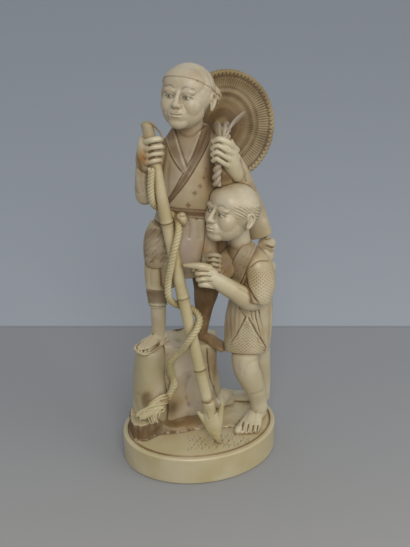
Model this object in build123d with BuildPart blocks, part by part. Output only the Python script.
from build123d import *
import os
from math import cos, radians, sin, tan

# Okimono carving: two countrymen with a barbed pole, a rope and a woven hat, on an oval plinth
# It is sectional, as tall tusk carvings are: each piece is cut by itself, seated in its
# neighbour and held by small dowels. Millimetres, +Z up, and the origin is the middle of the
# plinth's underside. The figures face -Y, and the plinth's long axis is turned about Z.

# Overall sizes
overall_height = 220.0
plinth_length = 86.0
plinth_width = 69.0
plinth_height = 16.0
plinth_turn = 20.0
plinth_edge_round = 1.2

# The earth plate that is let into the plinth
rim_width = 2.4
plate_thickness = 4.0
plate_stand = 0.4
plate_clearance = 0.15
bank_height = 5.4
bank_top_share = 0.98
bank_lean_share = 0.088
seat_depth = 0.4

# Rock and boulder
rock_height = 45.5
rock_top_lean_share = 0.165
rock_seat_height = 2.0
boulder_height = 49.0
boulder_width = 19.0
boulder_depth = 24.0

# Dowels
dowel_diameter = 3.0
small_dowel_diameter = 1.6
dowel_bite = 4.0
small_dowel_bite = 2.5

# Standing figure
tall_head_width = 26.5
tall_head_depth = 27.5
tall_head_height = 31.0
tall_head_turn = -22.0
tall_head_tip = -14.0
tall_neck_diameter = 13.5
tall_robe_width = 37.0
tall_robe_depth = 29.0
tall_sleeve_thickness = 13.0
collar_stand = 0.9
hip_width = 17.0
hip_depth = 18.0
hip_height = 30.0
tall_leg_thickness = 13.0
tall_foot_length = 19.0
tall_foot_width = 8.5
tall_foot_height = 6.0
left_foot_seat = 1.6

# Stooping figure
short_head_width = 25.5
short_head_depth = 29.0
short_head_height = 30.0
short_head_turn = -50.0
short_head_tip = -12.0
short_neck_diameter = 10.0
short_robe_width = 26.0
short_robe_depth = 22.0
short_sleeve_thickness = 15.0
short_forearm_thickness = 9.2
short_leg_thickness = 14.5
short_foot_length = 23.0
short_foot_width = 11.0
short_foot_height = 6.5

# Hands
hand_height = 12.0
hand_width = 10.0
palm_thickness = 5.0
palm_corner = 2.2
finger_thickness = 2.9
finger_count = 4

# Hat, cord and pouch
hat_diameter = 57.0
hat_thickness = 2.0
hat_hollow = 5.5
hat_turn = 28.0
hat_tip = -12.0
hat_rim_thickness = 3.2
hat_ring_thickness = 1.8
straw_count = 24
straw_width = 0.9
straw_stand = 0.35
cord_thickness = 4.6
pouch_width = 8.0
pouch_height = 8.0
pouch_depth = 5.4

# Bamboo pole, barbed head and rope
pole_diameter = 5.8
pole_joint_swell = 0.5
pole_joint_width = 1.6
barb_head_length = 27.4
barb_head_width = 15.5
barb_head_thickness = 4.4
barb_socket_depth = 5.0
rope_diameter = 3.6

# Bundle on the stooping figure's back
bundle_width = 10.0
bundle_depth = 12.0
bundle_height = 17.0

# Shapes of heads, feet and hands, as shares of their width, depth and height
head_egg_shares = {
    "skull": ((0.00, 0.05, 0.08), (1.00, 0.90, 0.84)),
    "jaw": ((0.00, -0.12, -0.23), (0.80, 0.68, 0.60)),
    "nose": ((0.00, -0.44, -0.06), (0.20, 0.20, 0.22)),
    "right ear": ((-0.48, 0.10, -0.05), (0.12, 0.20, 0.26)),
    "left ear": ((0.48, 0.10, -0.05), (0.12, 0.20, 0.26)),
}
foot_slice_shares = ((0.0, 0.62, 0.75), (0.35, 0.72, 1.0), (0.75, 1.0, 0.62), (1.0, 0.8, 0.42))
foot_corner_share = 0.42
arch_share = 0.3
knuckle_share = 0.40
arc_share = 0.45

# Places are shares too: across the ground of the plinth's length, and up of the overall height
ground_share = 2.5581
ground_span = plinth_length * ground_share


def place(shares):
    """A place in the model, from shares of the ground's span and of the overall height."""
    return Vector(ground_span * shares[0], ground_span * shares[1], overall_height * shares[2])


def on_level(shares, level):
    """A place at a level, from two shares of the ground's span."""
    return Vector(ground_span * shares[0], ground_span * shares[1], level)


def standing(shares, sole, hip):
    """A leg's stations: two shares of the ground's span, and one from the sole to the hip."""
    return [(on_level((x, y), sole + (hip - sole) * rise), width) for (x, y, rise), width in shares]


def facing(middle, turn, tip):
    """A plane whose -Y looks the way of a face: turned about Z, then tipped, up if tip is negative."""
    return Plane(middle).rotated((0, 0, turn)).rotated((tip, 0, 0))


def across(run):
    """The direction that is level and square to the run of a limb."""
    return run.cross(Vector(0, 1, 0)).normalized()


def oval_loft(stations):
    """Lofts through ovals: (middle, half width, half depth), each square to its neighbours' line."""
    middles = [middle for middle, _, _ in stations]
    ovals = []
    for index, (middle, half_width, half_depth) in enumerate(stations):
        run = middles[min(index + 1, len(middles) - 1)] - middles[max(index - 1, 0)]
        with BuildSketch(Plane(middle, x_dir=across(run), z_dir=run)) as oval:
            Ellipse(half_width, half_depth)
        ovals.append(oval.sketch)
    loft(ovals)


def run_limb(stations, thickness, flatness_share=1.0):
    """A limb through stations, each a point and a width as a share of the limb's thickness."""
    halves = [(middle, thickness * width_share / 2) for middle, width_share in stations]
    oval_loft([(middle, half, half * flatness_share) for middle, half in halves])


def limb(stations, thickness, flatness_share=1.0):
    """A limb through stations whose points are given as shares."""
    run_limb([(place(shares), wide) for shares, wide in stations], thickness, flatness_share)


def robe(stations, width, depth):
    """A robe through stations, each a place, and half sizes as shares of the width and depth."""
    oval_loft([(place(shares), width * wide, depth * deep) for shares, wide, deep in stations])


def ball(middle, diameter):
    """A round knuckle, elbow or knot."""
    with Locations(middle):
        Sphere(diameter / 2)


def dowel(start, end, diameter):
    """A round bar between two points."""
    run = end - start
    with BuildSketch(Plane(start, z_dir=run)) as disc:
        Circle(diameter / 2)
    extrude(disc.sketch, amount=run.length)


def finger(start, end, thickness):
    """A bar with round ends."""
    dowel(start, end, thickness)
    ball(start, thickness)
    ball(end, thickness)


def cut_for(*neighbours):
    """Cuts the seats of finished pieces out of the piece that is being built."""
    for neighbour in neighbours:
        add(neighbour.part, mode=Mode.SUBTRACT)


def plinth_oval(length, width, level, height, mode=Mode.ADD):
    """A slice of the plinth's oval, turned as the plinth is."""
    with BuildSketch(Plane((0, 0, level)).rotated((0, 0, plinth_turn))) as oval:
        Ellipse(length / 2, width / 2)
    extrude(oval.sketch, amount=height, mode=mode)


def outline(shares, length, width):
    """Closes a face round points that are shares of a length and a width."""
    with BuildLine() as border:
        Polyline(*((x * length, y * width) for x, y in shares), close=True)
    make_face(border.edges())


def foot(heel, toe, length, width, height):
    """A bare foot with a flat sole, from the heel towards the toe, widest at its ball."""
    run = (toe - heel).normalized()
    slices = []
    for reach_share, width_share, height_share in foot_slice_shares:
        high = height * height_share
        middle = heel + run * (length * reach_share) + Vector(0, 0, high / 2)
        with BuildSketch(Plane(middle, x_dir=(-run.Y, run.X, 0), z_dir=run)) as foot_slice:
            RectangleRounded(width * width_share, high, high * foot_corner_share)
        slices.append(foot_slice.sketch)
    loft(slices)


def egg(look, offset, width, depth, height):
    """An egg shape at an offset from a plane, along the plane's own directions."""
    ball_shape = Sphere(height / 2, mode=Mode.PRIVATE)
    shape = scale(ball_shape, by=(width / height, depth / height, 1), mode=Mode.PRIVATE)
    add(look.location * Pos(*offset) * shape)


def head(look, width, depth, height):
    """A head that looks along a plane's -Y: skull, jaw, nose and ears."""
    for (x, y, z), (wide, deep, high) in head_egg_shares.values():
        egg(look, (x * width, y * depth, z * height), wide * width, deep * depth, high * height)


def gripping_hand(middle):
    """A fist closed round an upright rod, with four fingers laid across its front."""
    half_reach = (pole_diameter + finger_thickness) / 2
    back = palm_thickness - finger_thickness
    with BuildSketch(Plane(middle - Vector(0, 0, hand_height / 2))) as palm:
        with Locations((0, back / 2)):
            RectangleRounded(hand_width, half_reach * 2 + back, palm_corner)
    extrude(palm.sketch, amount=hand_height)
    for index in range(finger_count):
        level = hand_height * ((index + 0.5) / finger_count - 0.5)
        knuckle = Vector(hand_width * knuckle_share, -half_reach, level)
        fingertip = Vector(-hand_width * knuckle_share, -half_reach, level)
        finger(middle + knuckle, middle + fingertip, finger_thickness)


def round_pole(drop_share, angle, reach_share=1.0):
    """A point of the rope beside the pole: 0 degrees is in front, 90 to the right, 180 behind."""
    reach = (pole_diameter + rope_diameter) / 2 * reach_share
    side = pole_right * sin(radians(angle)) + pole_front * cos(radians(angle))
    return pole_top + pole_run * (pole_length * drop_share) + side * reach


def arc_radii(points):
    """The largest arc that each corner of a route has room for."""
    radii = []
    for before, corner, after in zip(points, points[1:], points[2:]):
        half_turn = radians((corner - before).get_angle(after - corner)) / 2
        shorter = min((corner - before).length, (after - corner).length)
        radii.append(arc_share * shorter / tan(half_turn))
    return radii


def rope(points):
    """A rope's body along a route of straight runs and tangent arcs."""
    radii = arc_radii(points)
    print("arc radii of the rope", [round(radius, 1) for radius in radii])
    with BuildLine() as route:
        FilletPolyline(*points, radius=radii)
    with BuildSketch(Plane(route.line @ 0, z_dir=route.line % 0)) as round_end:
        Circle(rope_diameter / 2)
    sweep(round_end.sketch, path=route.line)


ground_level = plinth_height + plate_stand
plate_level = ground_level - plate_thickness
plate_length = plinth_length - 2 * rim_width
plate_width = plinth_width - 2 * rim_width
boulder_foot = ground_level - seat_depth
boulder_top = boulder_foot + boulder_height
rock_foot = ground_level + rock_seat_height
rock_top = ground_level + rock_height

# Dowels come first, because each piece that holds one is bored for it
base_dowel_shares = ((-0.10, -0.06), (0.10, 0.05))
with BuildPart() as base_dowels:
    for shares in base_dowel_shares:
        middle = on_level(shares, plate_level)
        bite = Vector(0, 0, dowel_bite)
        dowel(middle - bite, middle + bite / 2, dowel_diameter)

rock_dowel_shares = ((-0.050, 0.060), (0.035, 0.090), (-0.130, 0.015))
with BuildPart() as rock_dowels:
    for shares in rock_dowel_shares:
        low = on_level(shares, ground_level - dowel_bite / 2)
        high = on_level(shares, rock_foot + dowel_bite)
        dowel(low, high, dowel_diameter)

tall_neck_foot = place((-0.021, 0.034, 0.822))
tall_neck_top = place((-0.025, 0.020, 0.890))
short_neck_foot = place((0.098, 0.006, 0.556))
short_neck_top = place((0.082, -0.010, 0.630))
with BuildPart() as neck_dowels:
    for foot_point, top_point in (
        (tall_neck_foot, tall_neck_top),
        (short_neck_foot, short_neck_top),
    ):
        bite = (top_point - foot_point).normalized() * dowel_bite
        dowel(foot_point - bite, foot_point + bite, dowel_diameter)

right_sole = boulder_top - seat_depth
left_sole = rock_top - left_foot_seat
short_sole = ground_level - seat_depth
right_heel = on_level((-0.090, 0.030), right_sole)
right_toe = on_level((-0.148, -0.035), right_sole)
left_heel = on_level((-0.002, 0.068), left_sole)
left_toe = on_level((0.043, 0.032), left_sole)
near_heel = on_level((0.166, 0.028), short_sole)
near_toe = on_level((0.112, -0.055), short_sole)
far_heel = on_level((0.168, 0.082), short_sole)
far_toe = on_level((0.115, 0.100), short_sole)
with BuildPart() as foot_dowels:
    for heel, toe, length in (
        (right_heel, right_toe, tall_foot_length),
        (left_heel, left_toe, tall_foot_length),
        (near_heel, near_toe, short_foot_length),
        (far_heel, far_toe, short_foot_length),
    ):
        arch = heel + (toe - heel).normalized() * (length * arch_share)
        bite = Vector(0, 0, small_dowel_bite)
        dowel(arch - bite, arch + bite, small_dowel_diameter)

hat_middle = place((0.063, 0.127, 0.812))
hat_peg_start = place((0.018, 0.045, 0.780))
hat_peg_end = place((0.046, 0.158, 0.786))
with BuildPart() as hat_dowel:
    dowel(hat_peg_start, hat_peg_end, dowel_diameter)

# The plinth is one thick oval, with a shallow seat for the earth plate
with BuildPart() as plinth:
    plinth_oval(plinth_length, plinth_width, 0, plinth_height)
    fillet(plinth.edges(), radius=plinth_edge_round)
    plinth_oval(plate_length, plate_width, plate_level, plate_thickness, mode=Mode.SUBTRACT)
    cut_for(base_dowels)

# The pole leans from the ground to the right hand, and its joints swell a little
pole_top = place((-0.115, -0.023, 0.866))
pole_foot = place((0.018, -0.086, 0.194))
pole_run = (pole_foot - pole_top).normalized()
pole_length = (pole_foot - pole_top).length
pole_right = Vector(0, -1, 0).cross(pole_run).normalized()
pole_front = pole_run.cross(pole_right).normalized()
pole_joint_shares = (0.335, 0.605, 0.878)
joint_diameter = pole_diameter + 2 * pole_joint_swell
with BuildPart() as pole:
    dowel(pole_top, pole_foot, pole_diameter)
    for joint_share in pole_joint_shares:
        middle = pole_top + pole_run * (pole_length * joint_share)
        half_joint = pole_run * (pole_joint_width / 2)
        dowel(middle - half_joint, middle + half_joint, joint_diameter)

# The head of the pole is a flat blade with two barbs that point back up
barb_tip = place((0.044, -0.095, 0.072))
barb_run = (barb_tip - pole_foot).normalized()
barb_start = pole_foot - pole_run * barb_socket_depth
barb_right = across(barb_run)
barb_face = Plane(barb_start, x_dir=barb_right, z_dir=barb_run.cross(barb_right))
barb_shares = (
    (0.20, 0.00),
    (0.22, -0.36),
    (0.32, -0.29),
    (0.42, -0.31),
    (0.36, -0.55),
    (0.06, -1.00),
    (-0.34, -0.72),
    (-0.58, -0.42),
    (-0.50, -0.36),
    (-0.22, -0.50),
    (-0.20, 0.00),
)
with BuildPart() as barb_head:
    with BuildSketch(barb_face):
        outline(barb_shares, barb_head_width, barb_head_length + barb_socket_depth)
    extrude(amount=barb_head_thickness / 2, both=True)
    dowel(barb_start, barb_start + barb_run * (barb_socket_depth * 2), joint_diameter)
    cut_for(pole)

# Stooping figure: the head is raised towards the pole
short_head_middle = place((0.074, -0.018, 0.656))
with BuildPart() as short_head:
    look = facing(short_head_middle, short_head_turn, short_head_tip)
    head(look, short_head_width, short_head_depth, short_head_height)
    dowel(short_neck_foot, short_neck_top, short_neck_diameter)
    cut_for(neck_dowels)

# The near leg is bent under him, and the far one stands behind it
near_leg_shares = (
    ((0.118, 0.004, 0.330), 0.94),
    ((0.113, -0.011, 0.262), 1.00),
    ((0.122, -0.006, 0.205), 0.96),
    ((0.142, 0.006, 0.150), 0.70),
    ((0.156, 0.012, 0.098), 0.56),
)
with BuildPart() as short_near_leg:
    limb(near_leg_shares, short_leg_thickness)
    foot(near_heel, near_toe, short_foot_length, short_foot_width, short_foot_height)
    cut_for(foot_dowels)

far_leg_shares = (
    ((0.140, 0.055, 0.330), 0.95),
    ((0.150, 0.062, 0.230), 0.85),
    ((0.160, 0.072, 0.160), 0.66),
    ((0.164, 0.080, 0.098), 0.52),
)
with BuildPart() as short_far_leg:
    limb(far_leg_shares, short_leg_thickness)
    foot(far_heel, far_toe, short_foot_length, short_foot_width, short_foot_height)
    cut_for(foot_dowels, short_near_leg)

# The standing figure's dark leg comes before the robe that stands against it
hip_level_share = 0.53
hip_level = overall_height * hip_level_share
tall_left_leg_shares = (
    ((0.012, 0.040, 0.960), 1.15),
    ((0.016, 0.042, 0.648), 1.10),
    ((0.012, 0.048, 0.453), 0.86),
    ((0.006, 0.056, 0.180), 0.56),
    ((0.004, 0.060, 0.062), 0.50),
)
with BuildPart() as tall_left_leg:
    run_limb(standing(tall_left_leg_shares, left_sole, hip_level), tall_leg_thickness)
    foot(left_heel, left_toe, tall_foot_length, tall_foot_width, tall_foot_height)
    cut_for(foot_dowels)

# The near arm is bare to the elbow and points at the pole
forearm_shares = (
    ((0.129, -0.028, 0.431), 0.70),
    ((0.121, -0.038, 0.444), 1.05),
    ((0.084, -0.056, 0.470), 0.90),
    ((0.042, -0.066, 0.496), 0.68),
    ((0.012, -0.068, 0.514), 0.86),
    ((-0.006, -0.068, 0.524), 0.74),
)
index_knuckle = place((-0.008, -0.068, 0.532))
index_tip = place((-0.036, -0.060, 0.536))
curled_shares = ((-0.014, -0.072, 0.521), (-0.010, -0.072, 0.509), (-0.004, -0.070, 0.499))
curl_share = 0.7
with BuildPart() as short_near_forearm:
    limb(forearm_shares, short_forearm_thickness)
    finger(index_knuckle, index_tip, finger_thickness)
    for shares in curled_shares:
        knuckle = place(shares)
        finger(knuckle, knuckle + Vector(hand_width * curl_share, 0, 0), finger_thickness)
    cut_for(pole)

# The far hand is closed at the chest
far_palm_start = place((0.034, -0.034, 0.538))
far_palm_end = place((0.048, -0.020, 0.538))
far_knuckle_shares = (
    (0.020, -0.049, 0.521),
    (0.018, -0.050, 0.533),
    (0.018, -0.050, 0.545),
    (0.021, -0.049, 0.557),
)
far_curl_share = 0.7
with BuildPart() as short_far_hand:
    finger(far_palm_start, far_palm_end, hand_width)
    for shares in far_knuckle_shares:
        knuckle = place(shares)
        finger(knuckle, knuckle + Vector(hand_width * far_curl_share, 0, 0), finger_thickness)
    cut_for(short_near_forearm)

near_sleeve_shares = (
    ((0.112, 0.010, 0.535), 0.80),
    ((0.140, -0.008, 0.505), 0.98),
    ((0.132, -0.032, 0.452), 0.98),
)
with BuildPart() as short_near_sleeve:
    limb(near_sleeve_shares, short_sleeve_thickness)
    cut_for(short_near_forearm, short_far_hand)

far_sleeve_shares = (
    ((0.082, 0.016, 0.532), 0.80),
    ((0.046, -0.004, 0.500), 0.88),
    ((0.036, -0.024, 0.516), 0.70),
)
with BuildPart() as short_far_sleeve:
    limb(far_sleeve_shares, short_sleeve_thickness)
    cut_for(short_far_hand, short_near_sleeve, short_near_forearm, tall_left_leg)

# His robe bends forward from the hem to the shoulders
short_robe_shares = (
    ((0.116, 0.011, 0.266), 0.47, 0.56),
    ((0.120, 0.022, 0.355), 0.50, 0.52),
    ((0.124, 0.028, 0.420), 0.44, 0.45),
    ((0.116, 0.020, 0.490), 0.44, 0.44),
    ((0.106, 0.012, 0.540), 0.38, 0.38),
    ((0.098, 0.006, 0.566), 0.24, 0.28),
)
with BuildPart() as short_robe:
    robe(short_robe_shares, short_robe_width, short_robe_depth)
    cut_for(short_head, neck_dowels, short_near_leg, short_far_leg, tall_left_leg)
    cut_for(short_near_sleeve, short_far_sleeve, short_near_forearm, short_far_hand)

# Standing figure: the head turns to his right and tips back
tall_head_middle = place((-0.028, 0.014, 0.9315))
with BuildPart() as tall_head:
    look = facing(tall_head_middle, tall_head_turn, tall_head_tip)
    head(look, tall_head_width, tall_head_depth, tall_head_height)
    dowel(tall_neck_foot, tall_neck_top, tall_neck_diameter)
    cut_for(neck_dowels)

tall_right_leg_shares = (
    ((-0.101, 0.005, 1.000), 0.92),
    ((-0.099, -0.003, 0.746), 0.92),
    ((-0.099, 0.000, 0.535), 0.82),
    ((-0.099, 0.008, 0.323), 0.62),
    ((-0.098, 0.014, 0.119), 0.50),
)
with BuildPart() as tall_right_leg:
    run_limb(standing(tall_right_leg_shares, right_sole, hip_level), tall_leg_thickness)
    foot(right_heel, right_toe, tall_foot_length, tall_foot_width, tall_foot_height)
    cut_for(foot_dowels)

# His right hand holds the pole, and the left one the hat's twisted cord
grip_drop_share = 0.085
right_hand_middle = pole_top + pole_run * (pole_length * grip_drop_share)
with BuildPart() as tall_right_hand:
    gripping_hand(right_hand_middle)
    cut_for(pole)

left_hand_middle = place((0.058, -0.016, 0.800))
cord_low = place((0.038, -0.016, 0.732))
cord_knot = place((0.062, -0.012, 0.846))
cord_end = place((0.057, 0.141, 0.814))
with BuildPart() as hat_cord:
    dowel(cord_low, left_hand_middle, cord_thickness)
    dowel(left_hand_middle, cord_knot, cord_thickness)
    dowel(cord_knot, cord_end, cord_thickness)
    ball(left_hand_middle, cord_thickness)
    ball(cord_knot, cord_thickness)
    cut_for(hat_dowel)

with BuildPart() as tall_left_hand:
    gripping_hand(left_hand_middle)
    cut_for(hat_cord)

# The hat is a shallow cone that hangs behind the left shoulder, with its hollow side forward.
# Straws run over it as thin ribs, a ring stands on them, and the rim is bound
hat_look = facing(hat_middle, hat_turn, hat_tip)
hat_front = hat_look.y_dir * -1
hat_side = Plane(hat_middle, x_dir=hat_look.x_dir, z_dir=hat_look.x_dir.cross(hat_front))
hat_profile_shares = ((0.0, -1.0), (0.30, -0.86), (0.62, -0.50), (1.0, 0.0))
straw_profile_shares = ((0.28, -0.87), (0.62, -0.50), (0.94, -0.08))
hat_ring_shares = (0.62, -0.50)


def hat_points(shares):
    """Points of the hat's profile: out from its middle, and towards its front."""
    return [(out * hat_diameter / 2, rise * hat_hollow) for out, rise in shares]


def hat_dish(stand):
    """The hat's dish with its ring and its rim, the front face raised by a stand."""
    with BuildSketch(hat_side) as side:
        with BuildLine():
            points = hat_points(hat_profile_shares)
            front = [(out, rise + stand) for out, rise in points]
            back = [(out, rise - hat_thickness) for out, rise in reversed(points)]
            Polyline(*front, *back, close=True)
        make_face()
        with Locations((hat_diameter / 2 - hat_rim_thickness / 2, -hat_thickness / 2)):
            Circle(hat_rim_thickness / 2)
        with Locations(*hat_points((hat_ring_shares,))):
            Circle(hat_ring_thickness / 2)
    revolve(side.sketch, axis=Axis(hat_middle, hat_front))


with BuildPart() as straw:
    with BuildSketch(hat_side) as straw_side:
        with BuildLine():
            line = hat_points(straw_profile_shares)
            front = [(out, rise + straw_stand) for out, rise in line]
            back = [(out, rise - hat_thickness / 2) for out, rise in reversed(line)]
            Polyline(*front, *back, close=True)
        make_face()
    extrude(straw_side.sketch, amount=straw_width / 2, both=True)
with BuildPart() as hat_room:
    hat_dish(straw_stand)
with BuildPart() as hat:
    hat_dish(0)
    around = Axis(hat_middle, hat_front)
    add([straw.part.rotate(around, 360 / straw_count * index) for index in range(straw_count)])
    cut_for(tall_head, hat_cord, hat_dowel)

# His sleeves are bent at the elbow, and the left one hangs down behind the stooping figure
right_upper_shares = (
    ((-0.060, 0.036, 0.795), 0.90),
    ((-0.104, 0.026, 0.740), 1.05),
    ((-0.128, 0.009, 0.688), 0.80),
)
right_lower_shares = (
    ((-0.128, 0.009, 0.688), 0.78),
    ((-0.126, -0.010, 0.736), 0.80),
    ((-0.112, -0.010, 0.790), 0.66),
)
right_elbow_share = 0.84
with BuildPart() as tall_right_sleeve:
    limb(right_upper_shares, tall_sleeve_thickness)
    limb(right_lower_shares, tall_sleeve_thickness)
    ball(place(right_lower_shares[0][0]), tall_sleeve_thickness * right_elbow_share)
    cut_for(tall_right_hand, pole)

left_upper_shares = (
    ((0.030, 0.041, 0.795), 0.90),
    ((0.072, 0.042, 0.745), 1.05),
    ((0.100, 0.038, 0.690), 0.95),
)
left_lower_shares = (
    ((0.100, 0.038, 0.690), 0.90),
    ((0.088, 0.018, 0.735), 0.85),
    ((0.068, 0.008, 0.775), 0.66),
)
hanging_shares = (
    ((0.096, 0.040, 0.700), 0.95),
    ((0.120, 0.052, 0.640), 1.00),
    ((0.146, 0.057, 0.562), 0.95),
)
hanging_flatness_share = 0.5
with BuildPart() as tall_left_sleeve:
    limb(left_upper_shares, tall_sleeve_thickness)
    limb(left_lower_shares, tall_sleeve_thickness)
    ball(place(left_lower_shares[0][0]), tall_sleeve_thickness)
    limb(hanging_shares, tall_sleeve_thickness, hanging_flatness_share)
    cut_for(tall_left_hand, hat_cord, hat_dowel, short_head, hat_room)

# His robe takes in the neck, the legs and the sleeves
tall_robe_shares = (
    ((-0.040, 0.027, 0.486), 0.49, 0.50),
    ((-0.036, 0.027, 0.564), 0.50, 0.50),
    ((-0.027, 0.027, 0.655), 0.42, 0.38),
    ((-0.023, 0.032, 0.727), 0.46, 0.40),
    ((-0.020, 0.036, 0.795), 0.44, 0.34),
    ((-0.020, 0.036, 0.836), 0.25, 0.26),
)

# Two crossed collar bands stand on its chest, a sash goes round it and a hip swells it
collar_band_shares = (
    ((-0.050, 0.826), (-0.028, 0.760), (-0.040, 0.727), (-0.077, 0.826)),
    ((0.000, 0.826), (-0.028, 0.760), (-0.075, 0.695), (-0.068, 0.679), (0.012, 0.826)),
)
robe_middle_share = 0.027
with BuildPart() as collar:
    full_width = tall_robe_width + 2 * collar_stand
    full_depth = tall_robe_depth + 2 * collar_stand
    robe(tall_robe_shares, full_width, full_depth)
    with BuildSketch(Plane.XZ.offset(-ground_span * robe_middle_share)) as bands:
        for shares in collar_band_shares:
            outline(shares, ground_span, overall_height)
    extrude(bands.sketch, amount=full_depth, mode=Mode.INTERSECT)

sash_shares = (
    ((-0.027, 0.027, 0.647), 0.443, 0.410),
    ((-0.026, 0.028, 0.671), 0.449, 0.414),
)
hip_shares = (-0.089, 0.005, 0.555)
with BuildPart() as tall_robe:
    robe(tall_robe_shares, tall_robe_width, tall_robe_depth)
    robe(sash_shares, tall_robe_width, tall_robe_depth)
    egg(Plane(place(hip_shares)), (0, 0, 0), hip_width, hip_depth, hip_height)
    add(collar.part)
    cut_for(tall_head, neck_dowels, tall_right_leg, tall_left_leg)
    cut_for(tall_right_sleeve, tall_left_sleeve, tall_left_hand, hat_cord, hat_dowel, pole, hat_room)
    cut_for(short_head, short_robe, short_far_sleeve, short_far_hand)

# The bundle sits behind the stooping figure's shoulder
bundle_middle = place((0.158, 0.052, 0.510))
with BuildPart() as bundle:
    egg(Plane(bundle_middle), (0, 0, 0), bundle_width, bundle_depth, bundle_height)
    cut_for(short_robe, short_near_sleeve, tall_left_sleeve)

# The boulder is worn round
boulder_shares = (-0.122, 0.012)
boulder_slices = ((0.0, 1.10, 1.10), (0.25, 1.02, 1.05), (0.7, 0.95, 1.0), (1.0, 0.82, 0.86))
with BuildPart() as boulder:
    for height_share, width_share, depth_share in boulder_slices:
        level = boulder_foot + boulder_height * height_share
        with BuildSketch(Plane(on_level(boulder_shares, level))):
            Ellipse(boulder_width * width_share / 2, boulder_depth * depth_share / 2)
    loft()
    cut_for(tall_right_leg, rock_dowels, foot_dowels)

# The rock behind it is broken, with a top that slopes down to the right
rock_foot_shares = (
    (-0.20, -0.06),
    (-0.07, 0.09),
    (0.06, 0.16),
    (0.125, 0.23),
    (0.12, 0.42),
    (-0.12, 0.40),
    (-0.25, 0.20),
)
rock_top_shares = (
    (-0.22, -0.02),
    (-0.12, 0.02),
    (0.05, 0.10),
    (0.112, 0.11),
    (0.10, 0.36),
    (-0.10, 0.36),
    (-0.25, 0.22),
)
with BuildPart() as rock:
    with BuildSketch(Plane((0, 0, rock_foot))):
        outline(rock_foot_shares, plinth_length, plinth_width)
    with BuildSketch(Plane((0, 0, rock_top), z_dir=(rock_top_lean_share, 0, 1))):
        outline(rock_top_shares, plinth_length, plinth_width)
    loft(ruled=True)
    cut_for(boulder, tall_right_leg, tall_left_leg, short_far_leg, rock_dowels, foot_dowels)

# The earth plate carries a low bank, on which the rock stands
bank_shares = (
    (-0.455, -0.13),
    (-0.405, -0.235),
    (-0.36, -0.265),
    (-0.30, -0.235),
    (-0.25, -0.16),
    (-0.165, -0.13),
    (-0.065, -0.055),
    (0.155, 0.14),
    (0.25, 0.19),
    (0.40, 0.28),
    (0.38, 0.42),
    (0.10, 0.46),
    (-0.28, 0.34),
)
with BuildPart() as earth_plate:
    fitted_length = plate_length - 2 * plate_clearance
    fitted_width = plate_width - 2 * plate_clearance
    plinth_oval(fitted_length, fitted_width, plate_level, plate_thickness)
    bank_top = ground_level + bank_height
    with BuildSketch(Plane((0, 0, ground_level - seat_depth))) as bank_foot:
        outline(bank_shares, plate_length, plate_width)
    with BuildSketch(Plane((0, 0, bank_top), z_dir=(bank_lean_share, 0, 1))) as bank_head:
        outline(bank_shares, plate_length * bank_top_share, plate_width * bank_top_share)
    loft([bank_foot.sketch, bank_head.sketch], ruled=True)
    cut_for(base_dowels, rock_dowels, foot_dowels, barb_head)
    cut_for(boulder, rock, short_near_leg, short_far_leg)

# The rope hangs from the hand and goes once round the pole, then ends in a loop behind it
upper_route = (
    (0.140, -25, 1.05),
    (0.200, -60, 1.12),
    (0.255, -85, 1.20),
    (0.285, -130, 1.10),
    (0.308, -180, 1.05),
    (0.332, -235, 1.04),
    (0.362, -290, 1.04),
    (0.395, -328, 1.04),
    (0.430, -360, 1.08),
    (0.480, -395, 1.15),
    (0.530, -425, 1.45),
    (0.585, -434, 1.75),
    (0.618, -455, 1.45),
    (0.640, -490, 1.15),
    (0.655, -525, 1.06),
)
with BuildPart() as rope_upper:
    rope([round_pole(*station) for station in upper_route])
    cut_for(pole, tall_right_hand, tall_right_sleeve, tall_robe)

# The pouch hangs from the sash, round below and drawn in at its mouth
pouch_middle = place((-0.044, -0.036, 0.646))
pouch_shares = ((0.50, 0.40), (0.30, 0.72), (0.00, 1.00), (-0.30, 0.85), (-0.50, 0.45))
with BuildPart() as pouch:
    stations = []
    for rise, wide in pouch_shares:
        middle = pouch_middle + Vector(0, 0, pouch_height * rise)
        stations.append((middle, pouch_width * wide / 2, pouch_depth * wide / 2))
    oval_loft(stations)
    cut_for(tall_robe, pole, rope_upper)

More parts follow.
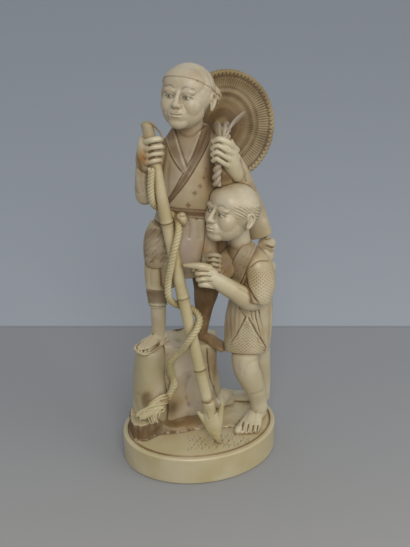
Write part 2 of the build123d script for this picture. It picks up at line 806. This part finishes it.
# Lower down it comes round the pole again, and its tail falls between the stones
lower_route = (
    (0.660, 168, 1.06),
    (0.677, 130, 1.08),
    (0.695, 90, 1.10),
    (0.714, 45, 1.08),
    (0.737, 0, 1.08),
    (0.762, -42, 1.15),
)
tail_shares = (
    (-0.0442, -0.0650, 0.3155),
    (-0.0564, -0.0560, 0.2991),
    (-0.0714, -0.0415, 0.2687),
    (-0.0698, -0.0260, 0.2307),
    (-0.0630, -0.0200, 0.1978),
    (-0.0755, -0.0290, 0.1702),
    (-0.0900, -0.0440, 0.1560),
)
with BuildPart() as rope_lower:
    rope([round_pole(*station) for station in lower_route] + [place(shares) for shares in tail_shares])
    cut_for(pole, barb_head, rope_upper, rock, boulder)

# The rope's end is unlaid into two tufts at the foot of the boulder
long_tuft_shares = (
    ((-0.086, -0.042, 0.160), 1.2),
    ((-0.097, -0.058, 0.138), 2.1),
    ((-0.108, -0.066, 0.122), 1.7),
)
short_tuft_shares = (
    ((-0.097, -0.056, 0.142), 1.2),
    ((-0.122, -0.060, 0.136), 1.7),
    ((-0.142, -0.060, 0.124), 1.3),
)
tuft_flatness_share = 0.8
with BuildPart() as rope_tuft:
    limb(long_tuft_shares, rope_diameter, tuft_flatness_share)
    limb(short_tuft_shares, rope_diameter, tuft_flatness_share)
    cut_for(rope_lower, boulder, rock, earth_plate)

pieces = {
    "plinth": plinth,
    "earth_plate": earth_plate,
    "rock": rock,
    "boulder": boulder,
    "base_dowels": base_dowels,
    "rock_dowels": rock_dowels,
    "neck_dowels": neck_dowels,
    "foot_dowels": foot_dowels,
    "hat_dowel": hat_dowel,
    "tall_head": tall_head,
    "tall_robe": tall_robe,
    "tall_right_sleeve": tall_right_sleeve,
    "tall_left_sleeve": tall_left_sleeve,
    "tall_right_hand": tall_right_hand,
    "tall_left_hand": tall_left_hand,
    "tall_right_leg": tall_right_leg,
    "tall_left_leg": tall_left_leg,
    "short_head": short_head,
    "short_robe": short_robe,
    "short_near_sleeve": short_near_sleeve,
    "short_near_forearm": short_near_forearm,
    "short_far_sleeve": short_far_sleeve,
    "short_far_hand": short_far_hand,
    "short_near_leg": short_near_leg,
    "short_far_leg": short_far_leg,
    "hat": hat,
    "hat_cord": hat_cord,
    "pouch": pouch,
    "pole": pole,
    "barb_head": barb_head,
    "rope_upper": rope_upper,
    "rope_lower": rope_lower,
    "rope_tuft": rope_tuft,
    "bundle": bundle,
}
os.makedirs("parts", exist_ok=True)
for name, piece in pieces.items():
    piece.part.label = name
    export_step(piece.part, f"parts/{name}.step")
